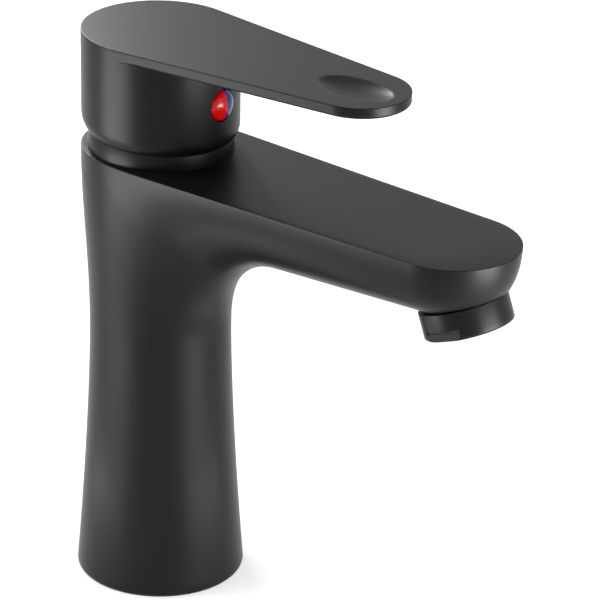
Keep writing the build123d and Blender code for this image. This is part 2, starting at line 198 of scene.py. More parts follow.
class MixerStudio(PropertyGroup):
    """Camera, floor and lamps."""
    turn: angle("Camera turn", "Turn of the camera round the object", 37.18)
    tilt: angle("Camera tilt", "Height of the camera over the horizon", 24.07)
    roll: angle("Camera roll", "Roll of the camera", 1.04)
    distance: length("Camera distance", "Camera to the point that it looks at", 1.03844)
    aim_x: length("Aim X", "Point that the camera looks at", 0.05211)
    aim_z: length("Aim Z", "Point that the camera looks at", 0.10228)
    lens: FloatProperty(name="Lens", description="Focal length in millimetres", default=216.0)
    floor_size: length("Floor", "Half side of the floor", 6.0)
    floor: colour("Floor colour", "Pale floor", (0.45, 0.45, 0.45))
    floor_glow: share("Floor glow", "White that the floor adds for the camera and for mirrors", 0.56)
    far_glow: share("Far glow", "The same far away, where the lamps don't reach", 0.89)
    glow_from: length("Glow from", "Distance at which the glow begins to rise", 0.15)
    glow_to: length("Glow to", "Distance at which the far glow is reached", 0.45)
    fill: share("Fill", "Soft light from all sides", 0.25)


# Surfaces

MERGE = 2e-6  # metres under which two points become one
SLIVER = 1e-7  # metres under which an edge of a new grid is dissolved
SHARP = 32.0  # degrees over which an edge stays sharp
ROUND_STEPS = 192  # steps round a turned piece
DRUM_STEPS = 96  # steps round a carving tool
CORNER_ROWS = 6  # rows of a small rounding


def polar(radius, around, height):
    """Points from a radius, a bearing and a height, as arrays that fit each other."""
    x = radius * np.cos(around)
    y = radius * np.sin(around)
    return np.stack(np.broadcast_arrays(x, y, height), axis=-1)


def turned(rows, angles):
    """Grid of a profile turned about Z: rows of (radius, height) by angles."""
    radius, height = np.array(rows, dtype=float).T[:, :, None]
    return polar(radius, angles, height)


def full_turn(count):
    """Angles of one full turn, first and last the same."""
    return np.linspace(-pi, pi, count + 1)


def corner(r_in, h_in, r_out, h_out):
    """Rows of a quarter ellipse from (r_in, h_in) to (r_out, h_out), leaving along the radius."""
    turn = np.linspace(0, RIGHT_ANGLE, CORNER_ROWS)
    radius = r_in + (r_out - r_in) * np.sin(turn)
    height = h_in + (h_out - h_in) * (1 - np.cos(turn))
    return np.column_stack([radius, height])


def placed(grid, matrix):
    """Grid moved by a 4 by 4 matrix."""
    m = np.array(matrix)
    return grid @ m[:3, :3].T + m[:3, 3]


def quads(rows, columns):
    """Corner numbers of the quads of a grid."""
    n = np.arange(rows * columns).reshape(rows, columns)
    return np.stack([n[:-1, :-1], n[1:, :-1], n[1:, 1:], n[:-1, 1:]], axis=-1).reshape(-1, 4)


@contextmanager
def mended(mesh, thinnest):
    """Lends a mesh for editing, with doubled points merged and edges under a length dissolved."""
    shape = bmesh.new()
    shape.from_mesh(mesh)
    bmesh.ops.remove_doubles(shape, verts=shape.verts, dist=MERGE)
    bmesh.ops.dissolve_degenerate(shape, edges=shape.edges, dist=thinnest)
    yield shape
    shape.to_mesh(mesh)
    shape.free()


def mesh_of(name, grids):
    """Mesh of several grids, sewn where they share points, faces outwards."""
    starts = np.cumsum([0] + [grid[..., 0].size for grid in grids])
    faces = [quads(*grid.shape[:2]) + start for grid, start in zip(grids, starts)]
    points = np.concatenate([grid.reshape(-1, 3) for grid in grids])
    mesh = bpy.data.meshes.new(name)
    mesh.from_pydata(points.tolist(), [], np.concatenate(faces).tolist())
    with mended(mesh, SLIVER) as shape:
        bmesh.ops.recalc_face_normals(shape, faces=shape.faces)
    return mesh


def carve(piece, grid, operation):
    """Cuts a closed shape out of a piece, or joins it on."""
    tool = bpy.data.objects.new("carving_tool", mesh_of("carving_tool", [grid]))
    bpy.context.scene.collection.objects.link(tool)
    step = piece.modifiers.new("carve", "BOOLEAN")
    step.operation = operation
    step.solver = "EXACT"
    step.object = tool
    result = piece.evaluated_get(bpy.context.evaluated_depsgraph_get())
    carved = bpy.data.meshes.new_from_object(result)
    with mended(carved, MERGE) as shape:
        loose = [edge for edge in shape.edges if edge.is_wire]
        bmesh.ops.delete(shape, geom=loose, context="EDGES")
    piece.modifiers.clear()
    old = piece.data
    piece.data = carved
    bpy.data.meshes.remove(old)
    bpy.data.objects.remove(tool)
    if len(carved.polygons) == 0:
        raise RuntimeError(f"{piece.name}: nothing is left after carving")


def piece_of(name, grids, body, node):
    """New piece that stands for a CAD node and rides on its body."""
    piece = bpy.data.objects.new(name, mesh_of(name, grids))
    bpy.context.scene.collection.objects.link(piece)
    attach(piece, body)
    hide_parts(node)
    return piece


def dress(piece, material):
    """Gives a piece one finish all over."""
    piece.data.materials.clear()
    piece.data.materials.append(material)


def complete(piece, material):
    """Shades a new piece smooth, with its sharp edges kept, and gives it a finish."""
    mesh = piece.data
    mesh.polygons.foreach_set("use_smooth", np.ones(len(mesh.polygons), bool))
    mesh.set_sharp_from_angle(angle=radians(SHARP))
    mesh.update()
    dress(piece, material)


# Body casting

FOOT_POWER = 1.5  # growth of the column under the waist
SHOULDER_POWER = 1.2  # growth of the column over the waist
FAN_POWER = 6  # how sharply the fan's centres turn from the column axis to the crown
REACH_ROUNDS = 6  # rounds in which the fan's far side settles on the back of the column
LEAST_COS = 0.1  # keeps that side finite where the ovals stand upright
HALVINGS = 44
LEAN_FROM = 0.02  # search for the first oval that is cut, in radians
LEAN_TRIES = 4000

# Rows and columns of the casting's grids
FOOT_ROWS = 8
COLUMN_ROWS = 40
BEND_ROWS = 26
BACK_ROWS = 17
FRONT_ROWS = 21
SPOUT_ROWS = 30
TIP_COLUMNS = 65
EDGE_ROWS = 7
TOP_ROWS = 9
CUP_ROWS = 25


def top_at(body, x):
    """Height of the flat top, which falls evenly along X."""
    return body.top_z - x * tan(body.top_slope)


def column_r(body, z):
    """Column radius: under the waist it grows by (1 - z / waist height) to the foot's power, and over it by
    a smooth step to the shoulder's power."""
    low = body.waist_r + (body.base_r - body.waist_r) * np.clip(1 - z / body.waist_z, 0, 1) ** FOOT_POWER
    t = np.clip((z - body.waist_z) / (body.top_z - body.waist_z), 0, 1)
    high = body.waist_r + (body.shoulder_r - body.waist_r) * (t * t * (3 - 2 * t)) ** SHOULDER_POWER
    return np.where(z < body.waist_z, low, high)


def foot_edge(body):
    """Radius at which the rounding of the foot begins."""
    return float(column_r(body, body.foot_round)) - body.foot_round


def spout_w(body, x):
    """Half width of the spout, which narrows evenly from the column axis to the tip."""
    return body.root_w + (body.tip_r - body.root_w) * np.maximum(x, 0) / body.spout_len


def quarter(turn, blend, full):
    """Depth and width of a quarter oval at an angle from its deepest point: an ellipse blended into
    the cubic curve with control points (1, 0), (1, full), (full, 1), (0, 1)."""
    t = turn / RIGHT_ANGLE
    u = 1 - t
    deep = u ** 3 + 3 * u * u * t + 3 * full * u * t * t
    wide = 3 * full * u * u * t + 3 * u * t * t + t ** 3
    return np.cos(turn) * (1 - blend) + deep * blend, np.sin(turn) * (1 - blend) + wide * blend


def halved(before, low, high):
    """Value between low and high up to which a test holds, found by halving."""
    for _ in range(HALVINGS):
        middle = 0.5 * (low + high)
        holds = before(middle)
        low = np.where(holds, middle, low)
        high = np.where(holds, high, middle)
    return low


class BodyOvals:
    """Ovals along the body. A set of them is a list of arrays: X and Z of the centre, X and Z of the
    direction to the under side, half sizes under, over and across, and the share of the full section."""

    def __init__(self, body):
        self.body = body
        self.slope = tan(body.top_slope)
        self.bend_z = body.top_z - body.root_h - body.bend_r
        self.bend_x = float(column_r(body, self.bend_z)) + body.bend_r
        self.cut_z = body.top_z - body.edge_round
        self.crown_z = top_at(body, self.bend_x) + body.crown

    def column(self, z, radius):
        """Level circles."""
        none = 0 * z
        return [none, z, 1 + none, none, radius, radius, radius, none]

    def bend(self, lean):
        """Fan of ovals about the bend's axis. One over the distance to an oval's centre is the power sum of
        one over those to the column axis and to the crown. The far side lies on the back of the column."""
        body = self.body
        lean_cos = np.cos(lean)
        lean_sin = np.sin(lean)
        to_axis = lean_cos / self.bend_x
        to_crown = np.maximum(lean_sin - lean_cos * self.slope, 0) / (self.crown_z - self.bend_z)
        middle = (to_axis ** FAN_POWER + to_crown ** FAN_POWER) ** (-1 / FAN_POWER)
        x = self.bend_x - middle * lean_cos
        z = self.bend_z + middle * lean_sin
        over = column_r(body, self.bend_z) + 0 * z
        for _ in range(REACH_ROUNDS):
            far = self.bend_x + column_r(body, z + over * lean_sin)
            over = np.minimum(far / np.maximum(lean_cos, LEAST_COS) - middle, body.over_h)
        across = np.minimum(column_r(body, z), spout_w(body, x))
        return [x, z, lean_cos, -lean_sin, middle - body.bend_r, over, across, 0 * z]

    def spout(self, x):
        """Upright ovals whose depth changes evenly from the root to the tip."""
        body = self.body
        root = self.crown_z - self.bend_z - body.bend_r
        tip = body.tip_h + body.crown
        along = (x - self.bend_x) / (body.spout_len - self.bend_x)
        under = root + (tip - root) * along
        none = 0 * x
        z = top_at(body, x) + body.crown
        return [x, z, none, none - 1, under, none + body.over_h, spout_w(body, x), along]

    def cut_angle(self, ovals):
        """Angle round each oval at which it reaches the cut top, half a turn where it doesn't."""
        x, z, under_x, under_z, under, over, _, blend = ovals
        fall = under_z + self.slope * under_x
        meets = fall < -TINY
        reach = (self.cut_z - z - self.slope * x) / np.where(meets, fall, -TINY)
        past = np.arccos(np.clip(reach / over, -1, 0))

        def before(turn):
            return under * quarter(turn, blend, self.body.tip_full)[0] > reach

        turn = halved(before, 0 * x, RIGHT_ANGLE + 0 * x)
        return np.where(meets, np.where(reach > 0, turn, past), pi)

    def first_cut(self):
        """Lean of the oval whose far side just touches the cut top."""
        lean = np.linspace(LEAN_FROM, RIGHT_ANGLE, LEAN_TRIES)
        return float(lean[np.argmax(self.cut_angle(self.bend(lean)) < pi - TINY)])

    def lean_at(self, x):
        """Lean of the fan's plane that meets the cut top at x."""
        return np.arctan2(self.cut_z - x * self.slope - self.bend_z, self.bend_x - x)

    def cut_at(self, lean):
        """Where the fan's plane meets the cut top."""
        return self.bend_x - (self.cut_z - self.bend_z - self.bend_x * self.slope) / (tan(lean) - self.slope)

    def in_order(self):
        """All ovals from the foot to the tip, and the number of those before the first that is cut."""
        body = self.body
        first = self.first_cut()
        turn = np.linspace(0, RIGHT_ANGLE, FOOT_ROWS)
        foot_z = body.foot_round * (1 - np.cos(turn))
        foot_r = foot_edge(body) + body.foot_round * np.sin(turn)
        column_z = np.linspace(body.foot_round, self.bend_z, COLUMN_ROWS)[1:-1]
        plain = [self.column(foot_z, foot_r), self.column(column_z, column_r(body, column_z)),
                 self.bend(np.linspace(0, first, BEND_ROWS)[:-1])]
        back_x = self.cut_at(first) * np.cos(np.linspace(0, RIGHT_ANGLE, BACK_ROWS)[1:])
        front_x = np.linspace(0, self.bend_x, FRONT_ROWS)[1:-1]
        cut = [self.bend(np.array([first])), self.bend(self.lean_at(np.concatenate([back_x, front_x]))),
               self.spout(np.linspace(self.bend_x, body.spout_len, SPOUT_ROWS))]
        ovals = np.concatenate([np.stack(part) for part in plain + cut], axis=1)
        return ovals, sum(part[0].size for part in plain)


def wall_grid(body, ovals, limit, place):
    """Outer wall: each oval between minus and plus its limit, a quarter oval under its centre and an
    ellipse over it."""
    x, z, under_x, under_z, under, over, across, blend = ovals[:, :, None]
    phi = limit[:, None] * place
    turned_by = np.abs(phi)
    deep, wide = quarter(np.minimum(turned_by, RIGHT_ANGLE), blend, body.tip_full)
    reach = np.where(turned_by < RIGHT_ANGLE, under * deep, over * np.cos(phi))
    out = across * np.sign(phi) * np.where(turned_by < RIGHT_ANGLE, wide, np.sin(turned_by))
    return np.stack([x + under_x * reach, out, z + under_z * reach], axis=-1)


def tip_grid(stations, place):
    """Round tip: the full quarter oval turned about the tip's centre, up to the cut top."""
    body = stations.body
    depth = body.tip_h + body.crown
    centre_z = top_at(body, body.spout_len) + body.crown
    around = np.linspace(RIGHT_ANGLE, -RIGHT_ANGLE, TIP_COLUMNS)
    ahead = np.cos(around)

    def under_cut(turn):
        deep, wide = quarter(turn, 1, body.tip_full)
        x = body.spout_len + body.tip_r * wide * ahead
        return centre_z - depth * deep < stations.cut_z - x * stations.slope

    limit = halved(under_cut, 0 * around, RIGHT_ANGLE + 0 * around)
    deep, wide = quarter(limit[:, None] * place, 1, body.tip_full)
    tip = polar(body.tip_r * wide, around[:, None], centre_z - depth * deep)
    return tip + (body.spout_len, 0, 0)


def edge_grid(body, outline):
    """Rounded edge: a quarter circle from the outline inwards on to the flat top."""
    ahead = np.roll(outline, -1, axis=0) - np.roll(outline, 1, axis=0)
    inward = np.stack([ahead[:, 1], -ahead[:, 0]], axis=-1)
    inward /= np.linalg.norm(inward, axis=1)[:, None]
    turn = np.linspace(0, RIGHT_ANGLE, EDGE_ROWS)[:, None, None]
    flat = outline[:, :2] + inward * body.edge_round * (1 - np.cos(turn))
    height = top_at(body, flat[..., :1]) - body.edge_round * (1 - np.sin(turn))
    edge = np.concatenate([flat, height], axis=-1)
    edge[0] = outline
    return edge


def top_grid(body, border, bearing):
    """Flat top: straight lines from its border to the nut's bore."""
    hole = body.nut_bore_r * np.column_stack([np.cos(bearing), np.sin(bearing)])
    t = np.linspace(0, 1, TOP_ROWS)[:, None, None]
    flat = border[:, :2] * (1 - t) + hole * t
    return np.concatenate([flat, top_at(body, flat[..., :1])], axis=-1)


def bore_grid(body, rim, bearing):
    """Inside of the casting from the rim of the nut's bore down to the foot. In the cup the bearings of the
    border pass into even steps."""
    even = pi - 2 * pi * np.arange(bearing.size) / bearing.size
    seat = body.top_z - body.nut_bore_h
    upper = turned([(body.nut_bore_r, seat), (body.cup_r, seat)], bearing)
    t = np.linspace(0, 1, CUP_ROWS)[1:-1, None]
    cup = polar(body.cup_r, bearing + (even - bearing) * t, seat + (body.ledge_z - seat) * t)
    lower = turned([(body.cup_r, body.ledge_z), (body.cavity_r, body.ledge_z), (body.cavity_r, 0),
                    (body.gasket_in, 0), (body.gasket_in, body.gasket_h), (body.gasket_out, body.gasket_h),
                    (body.gasket_out, 0), (foot_edge(body), 0)], even)
    return np.concatenate([rim, upper, cup, lower])


def body_grids(body):
    """Closed skin of the casting: outer wall, round tip, rounded edge along the cut, flat top and inside."""
    stations = BodyOvals(body)
    ovals, plain_count = stations.in_order()
    limit = stations.cut_angle(ovals)
    # The first cut oval only touches the cut, so it is whole too
    limit[:plain_count + 1] = pi
    cut_count = ovals.shape[1] - plain_count
    outline_count = 2 * cut_count - 1 + TIP_COLUMNS - 2
    place = np.linspace(-1, 1, outline_count + 1)
    wall = wall_grid(body, ovals, limit, place)
    tip = tip_grid(stations, place[outline_count // 2:])
    left = wall[plain_count:, -1]
    right = wall[plain_count:, 0]
    edge = edge_grid(body, np.concatenate([left, tip[1:-1, -1], right[:0:-1]]))
    border = edge[-1]
    bearing = np.unwrap(np.arctan2(border[:, 1], border[:, 0]))
    # The border starts at the back, at plus half a turn
    bearing += 2 * pi * (bearing[0] < 0)
    top = top_grid(body, border, bearing)
    bore = bore_grid(body, top[-1:], bearing)
    loops = [np.concatenate([grid, grid[:, :1]], axis=1) for grid in (edge, top, bore)]
    return [wall, tip] + loops


def outlet_frame(body, outlet):
    """Frame on the outlet ring's upper face, its Z against the stream."""
    x_axis = Vector((cos(outlet.lean), 0, sin(outlet.lean)))
    z_axis = Vector((-sin(outlet.lean), 0, cos(outlet.lean)))
    place = Matrix((x_axis, Vector((0, 1, 0)), z_axis)).transposed().to_4x4()
    place.translation = Vector((body.spout_len + outlet.ahead, 0, top_at(body, body.spout_len) - outlet.drop))
    return place


def drum(radius, low, high):
    """Closed round bar along Z."""
    return turned([(0, low), (radius, low), (radius, high), (0, high)], full_turn(DRUM_STEPS))


class MIXER_OT_body(Operator):
    """Skins the body casting with its bend, cut top and outlet neck"""
    bl_idname = "mixer.body"
    bl_label = "Body casting"

    def execute(self, context):
        body = context.scene.mixer_body
        outlet = context.scene.mixer_outlet
        skin = piece_of("body_skin", body_grids(body), BODY, "body_casting")
        place = outlet_frame(body, outlet)
        spot = drum(outlet.ring_r + outlet.neck_gap, -outlet.ring_h, outlet.neck_gap)
        carve(skin, placed(spot, place), "DIFFERENCE")
        neck = drum(outlet.neck_r, outlet.neck_gap, outlet.spigot_h)
        carve(skin, placed(neck, place), "UNION")
        complete(skin, satin_paint(context))
        return {"FINISHED"}


# Outlet ring and collar

COLLAR_ROWS = 24


def ring_grid(outlet):
    """Turned profile of the ring. Its lower rows are clipped to the spanner flats, and where they are, the
    rows of the groove are set further in."""
    ring_r = outlet.ring_r
    bottom = -outlet.ring_h
    step = bottom + outlet.flat_h
    under = step - outlet.groove_h
    lip = bottom + outlet.lip_h
    start = (outlet.bore_r, outlet.spigot_h)
    upper = corner(ring_r - outlet.top_round, 0, ring_r, -outlet.top_round)
    lower = corner(ring_r - outlet.ring_round, bottom, ring_r, bottom + outlet.ring_round)
    rows = [start, (outlet.spigot_r, outlet.spigot_h), (outlet.spigot_r, 0), *upper, (ring_r, step)]
    groove = len(rows)
    rows += [(ring_r, step), (ring_r, under)]
    flats = len(rows)
    rows += [(ring_r, under), *lower[::-1]]
    flats_end = len(rows)
    rows += [(outlet.lip_r, bottom), (outlet.lip_r, lip), (outlet.bore_r, lip), start]
    grid = turned(rows, full_turn(ROUND_STEPS))
    y = grid[..., 1]
    y[flats:flats_end] = np.clip(y[flats:flats_end], -outlet.flat_y, outlet.flat_y)
    on_flat = np.abs(y[flats]) >= outlet.flat_y - TINY
    deep = np.sign(y[groove]) * (outlet.flat_y - outlet.groove_d)
    y[groove:flats] = np.where(on_flat, deep, y[groove:flats])
    return grid


class MIXER_OT_outlet(Operator):
    """Skins the outlet ring with its spanner flats"""
    bl_idname = "mixer.outlet"
    bl_label = "Outlet ring"

    def execute(self, context):
        body = context.scene.mixer_body
        outlet = context.scene.mixer_outlet
        grid = placed(ring_grid(outlet), outlet_frame(body, outlet))
        skin = piece_of("outlet_ring_skin", [grid], BODY, "aerator_ring")
        complete(skin, satin_paint(context))
        return {"FINISHED"}


def collar_grid(body, collar):
    """Band of a ball about the pivot: from the sloping top, where the sine of its rise is minus the slope
    times the cosine of the bearing, to its level crest, with a stepped bore inside."""
    pivot = body.top_z
    slope = tan(body.top_slope)
    around = full_turn(ROUND_STEPS)
    foot = turned([(collar.bore_r, 0)], around)
    foot[..., 2] += pivot - foot[..., 0] * slope
    start = np.arcsin(-np.cos(around) * slope)
    crest = np.arcsin(collar.height / collar.ball_r)
    rise = start + (crest - start) * np.linspace(0, 1, COLLAR_ROWS)[:, None]
    ball = polar(collar.ball_r * np.cos(rise), around, pivot + collar.ball_r * np.sin(rise))
    lip = pivot + collar.lip_z
    inner = turned([(collar.lip_r, pivot + collar.height), (collar.lip_r, lip), (collar.bore_r, lip)], around)
    return np.concatenate([foot, ball, inner, foot])


class MIXER_OT_collar(Operator):
    """Skins the ball-shaped collar on the sloping top"""
    bl_idname = "mixer.collar"
    bl_label = "Collar"

    def execute(self, context):
        grid = collar_grid(context.scene.mixer_body, context.scene.mixer_collar)
        skin = piece_of("collar_skin", [grid], BODY, "collar")
        complete(skin, satin_paint(context))
        return {"FINISHED"}


# Handle

LEVER_TIP = 33  # points of the outline's round tip, straight side and round cap
LEVER_SIDE = 161
LEVER_CAP = 65
ACROSS = 97  # points across the flat top
UNDER_ROWS = 9  # rows under the lever, from its edge to the cap
FADE = 12  # the lower rounding fades over the last side / FADE
DIMPLE_POWER = 0.75
DIMPLE_SOFT = 0.05
BEVEL_ROWS = 13
BEVEL_POWER = 2.6  # curve of the cap's bevel at its sides
BEVEL_SWING = 0.9  # added to that power at the front and taken off at the back
BALL_ROWS = 8
DOME_ROWS = 20
DOME_POWER = 0.7
INDEX_STEPS = 49


class LeverOutline:
    """Half outline of the lever from its tip to the back: round tip, straight side, round cap."""

    def __init__(self, handle):
        growth = handle.cap_r - handle.tip_r
        self.lean = np.arccos(growth / handle.lever_len)
        tip = np.linspace(0, self.lean, LEVER_TIP)
        side = np.linspace(0, 1, LEVER_SIDE)[1:]
        cap = np.linspace(self.lean, pi, LEVER_CAP)[1:]
        self.front_count = tip.size + side.size
        self.side = slice(tip.size, self.front_count)
        self.normal = np.concatenate([tip, self.lean + 0 * side, cap])
        self.centre = np.concatenate([handle.lever_len + 0 * tip, handle.lever_len * (1 - side), 0 * cap])
        tip_r = handle.tip_r + 0 * tip
        cap_r = handle.cap_r + 0 * cap
        self.radius = np.concatenate([tip_r, handle.tip_r + growth * side, cap_r])

    def inset(self, depth):
        """Points of the half outline moved inwards."""
        r = self.radius - depth
        x = self.centre + r * np.cos(self.normal)
        y = r * np.sin(self.normal)
        y[[0, -1]] = 0
        return x, y


def mirrored(x, y, z):
    """Closed loop from a half outline on +Y: tip, +Y side, back, -Y side, tip."""
    half = np.column_stack([x, y, z])
    return np.concatenate([half, half[-2::-1] * (1, -1, 1)])


def dimple(handle, x, y):
    """Depth of the finger dimple: (1 - q) to a power inside an oval, where q is the squared distance from
    its middle as a share of the oval's, with a soft rim."""
    q = ((x - handle.dimple_x) / (0.5 * handle.dimple_l)) ** 2 + (y / (0.5 * handle.dimple_w)) ** 2
    inside = 0.5 * (1 - q + np.sqrt((1 - q) ** 2 + DIMPLE_SOFT ** 2))
    return handle.dimple_d * inside ** DIMPLE_POWER


def lever_grids(handle, line, plane):
    """Flat top with the dimple, its rounded edge, and the side with its rounded lower edge, which fades out
    towards the cap."""
    x, y = line.inset(handle.edge_round)
    across = np.linspace(-1, 1, ACROSS)
    flat_x = x[:, None] + 0 * across
    flat_y = y[:, None] * across
    depth = dimple(handle, flat_x, flat_y)
    # The dimple leaves the border as it is, so that it meets the edge
    depth[:, [0, -1]] = 0
    depth[[0, -1]] = 0
    top = np.stack([flat_x, flat_y, plane(flat_x) - depth], axis=-1)

    edge = []
    for t in np.linspace(0, RIGHT_ANGLE, CORNER_ROWS):
        x, y = line.inset(handle.edge_round * (1 - sin(t)))
        edge.append(mirrored(x, y, plane(x) - handle.edge_round * (1 - cos(t))))

    fade = np.ones(line.normal.size)
    fade[line.side] = np.minimum(np.linspace(1, 0, LEVER_SIDE - 1) * FADE, 1)
    fade[line.front_count:] = 0
    low_round = handle.lever_round * fade
    x, y = line.inset(0)
    side = []
    for t in np.linspace(0, 1, CORNER_ROWS):
        depth = handle.edge_round + (handle.lever_h - low_round - handle.edge_round) * t
        side.append(mirrored(x, y, plane(x) - depth))
    for t in np.linspace(0, RIGHT_ANGLE, CORNER_ROWS)[1:]:
        x, y = line.inset(low_round * (1 - cos(t)))
        side.append(mirrored(x, y, plane(x) - handle.lever_h + low_round * (1 - sin(t))))
    return [top, np.stack(edge), np.stack(side)]


def cap_grids(body, handle, line, plane, border):
    """Underside of the lever from its border to the cap, the cap's wall, which draws in towards its sloping
    rim by a power that changes with the bearing, the ball-shaped hollow, and the roof with its boss."""
    around = np.concatenate([np.linspace(0, line.lean, line.front_count), line.normal[line.front_count:]])
    around = np.concatenate([around, -around[-2::-1]])
    ahead = np.cos(around)
    neck = polar(handle.cap_r, around, plane(handle.cap_r * ahead) - handle.lever_h)
    t = np.linspace(0, 1, UNDER_ROWS)[:, None, None]
    under = border * (1 - t) + neck * t

    rim_z = body.top_z + handle.rim_rise - (handle.cap_r - handle.bevel_w) * ahead * tan(handle.rim_slope)
    t = np.linspace(0, 1, BEVEL_ROWS)[:, None]
    drawn_in = handle.bevel_w * t ** (BEVEL_POWER + BEVEL_SWING * ahead)
    bevel = polar(handle.cap_r - drawn_in, around, rim_z + handle.bevel_h * (1 - t))
    ball_top = np.sqrt(handle.ball_r ** 2 - handle.hollow_r ** 2)
    t = np.linspace(0, 1, BALL_ROWS)[:, None]
    rise = (rim_z - body.top_z) * (1 - t) + ball_top * t
    ball = polar(np.sqrt(handle.ball_r ** 2 - rise ** 2), around, body.top_z + rise)
    wall = np.concatenate([neck[None], bevel, ball])

    roof_z = body.top_z + handle.rise - handle.roof_h
    boss_z = body.top_z + handle.boss_rise
    inner = turned([(handle.hollow_r, body.top_z + ball_top), (handle.hollow_r, roof_z),
                    (handle.boss_r, roof_z), (handle.boss_r, boss_z), (0, boss_z)], around)
    return [under, wall, inner]


def handle_grids(body, handle):
    """Closed skin of the handle: the lever and the cap under it."""
    line = LeverOutline(handle)

    def plane(x):
        return body.top_z + handle.rise - x * tan(handle.slope)

    lever = lever_grids(handle, line, plane)
    border = lever[-1][-1]
    return lever + cap_grids(body, handle, line, plane, border)


def index_frame(body, handle):
    """Frame at the foot of the index mark's hole, its Z out of the cap's front."""
    place = Matrix.Rotation(RIGHT_ANGLE, 4, "Y")
    place.translation = Vector((handle.cap_r - handle.index_depth, 0, body.top_z + handle.index_rise))
    return place


class MIXER_OT_handle(Operator):
    """Skins the handle with its lever, dimple and index hole"""
    bl_idname = "mixer.handle"
    bl_label = "Handle"

    def execute(self, context):
        body = context.scene.mixer_body
        handle = context.scene.mixer_handle
        skin = piece_of("handle_skin", handle_grids(body, handle), LEVER, "handle")
        hole = drum(handle.index_r, 0, 2 * handle.index_depth)
        carve(skin, placed(hole, index_frame(body, handle)), "DIFFERENCE")
        complete(skin, satin_paint(context))
        return {"FINISHED"}


def button_rows(handle):
    """Profile of the index mark: a dome that falls by (1 - t squared) to a power along the share t of its
    radius, straight sides and a flat back."""
    t = np.linspace(0, 1, DOME_ROWS)
    dome = handle.plug_h + handle.button_h + handle.button_dome * (1 - t ** 2) ** DOME_POWER
    curve = np.column_stack([handle.button_r * t, dome])
    return [*curve, (handle.button_r, handle.plug_h), (0, handle.plug_h)]


class MIXER_OT_index(Operator):
    """Skins the red and blue halves of the index mark"""
    bl_idname = "mixer.index"
    bl_label = "Index mark"

    def execute(self, context):
        handle = context.scene.mixer_handle
        looks = context.scene.mixer_finishes
        place = index_frame(context.scene.mixer_body, handle)
        marks = (("index_red", -1, "red_plastic", looks.red), ("index_blue", 1, "blue_plastic", looks.blue))
        for node, side, slot, shade in marks:
            half = turned(button_rows(handle), np.linspace(0, side * pi, INDEX_STEPS))
            half[np.abs(half[..., 1]) < TINY, 1] = 0
            split = np.stack([half[:, 0], half[:, -1]])
            skin = piece_of(f"{node}_skin", [placed(half, place), placed(split, place)], LEVER, node)
            complete(skin, index_gloss(f"{node}_gloss", shade))
        return {"FINISHED"}


# Finishes

NOISE_LOW = 0.3  # most of the noise lies between these two
NOISE_HIGH = 0.7
WHITE = (1, 1, 1, 1)


def set_inputs(node, values):
    """Sets sockets of a node by their names."""
    for name, value in values.items():
        node.inputs[name].default_value = value


def principled(name):
    """Material with its tree, its shader and the object coordinates."""
    material = bpy.data.materials.new(name)
    material.use_nodes = True
    tree = material.node_tree
    shader = tree.nodes["Principled BSDF"]
    place = tree.nodes.new("ShaderNodeTexCoord")
    return material, tree, shader, place.outputs["Object"]


def noise(tree, place, scale):
    """Noise of a scale in cells per metre."""
    node = tree.nodes.new("ShaderNodeTexNoise")
    set_inputs(node, {"Scale": scale})
    tree.links.new(place, node.inputs["Vector"])
    return node.outputs["Fac"]


def spread(tree, source, low, high, start=NOISE_LOW, end=NOISE_HIGH):
    """Values between start and end stretched over another range of numbers."""
    node = tree.nodes.new("ShaderNodeMapRange")
    set_inputs(node, {"From Min": start, "From Max": end, "To Min": low, "To Max": high})
    tree.links.new(source, node.inputs["Value"])
    return node.outputs["Result"]


def tint(tree, source, low, high):
    """Noise turned into a mix of two colours."""
    node = tree.nodes.new("ShaderNodeMix")
    node.data_type = "RGBA"
    set_inputs(node, {"A": (*low, 1.0), "B": (*high, 1.0)})
    tree.links.new(source, node.inputs["Factor"])
    return node.outputs["Result"]


def relief(tree, source, shader, height, strength):
    """Bump of a real height in metres."""
    node = tree.nodes.new("ShaderNodeBump")
    set_inputs(node, {"Distance": height, "Strength": strength})
    tree.links.new(source, node.inputs["Height"])
    tree.links.new(node.outputs["Normal"], shader.inputs["Normal"])


def shaded(base, factor):
    """Colour times a factor, at most white."""
    return tuple(min(1.0, c * factor) for c in base)


def finish(name, base, tone, clouds, grain, rough, height, strength=1.0, metal=0.0, specular=0.5):
    """Finish that is made once: colour in clouds, a tone darker and lighter, and a finer grain with two
    values of roughness and a bump."""
    material = bpy.data.materials.get(name)
    if material:
        return material
    material, tree, shader, place = principled(name)
    mixed = tint(tree, noise(tree, place, clouds), shaded(base, 1 - tone), shaded(base, 1 + tone))
    fine = noise(tree, place, grain)
    tree.links.new(mixed, shader.inputs["Base Color"])
    tree.links.new(spread(tree, fine, *rough), shader.inputs["Roughness"])
    set_inputs(shader, {"Metallic": metal, "Specular IOR Level": specular})
    relief(tree, fine, shader, height, strength)
    return material


def satin_paint(context):
    """Satin black paint: faint clouds in the tone, even gloss and a powder-fine grain."""
    looks = context.scene.mixer_finishes
    uneven = 0.02
    rough = (looks.paint_rough - uneven, looks.paint_rough + uneven)
    return finish("satin_paint", looks.paint, tone=0.12, clouds=60.0, grain=3200.0, rough=rough,
                  height=4e-6, strength=0.5, specular=looks.paint_specular)


def index_gloss(name, shade):
    """Glossy plastic with a faint orange peel."""
    return finish(name, shade, tone=0.08, clouds=300.0, grain=300.0, rough=(0.16, 0.22),
                  height=6e-6, strength=0.4, specular=0.30)


def inner_finish(name, base, rough, grain, height, metal):
    """Finish of an inner piece: uneven gloss on a grain of its own."""
    uneven = 0.15 * rough
    return finish(name, base, tone=0.10, clouds=90.0, grain=grain, rough=(rough - uneven, rough + uneven),
                  height=height, metal=metal)


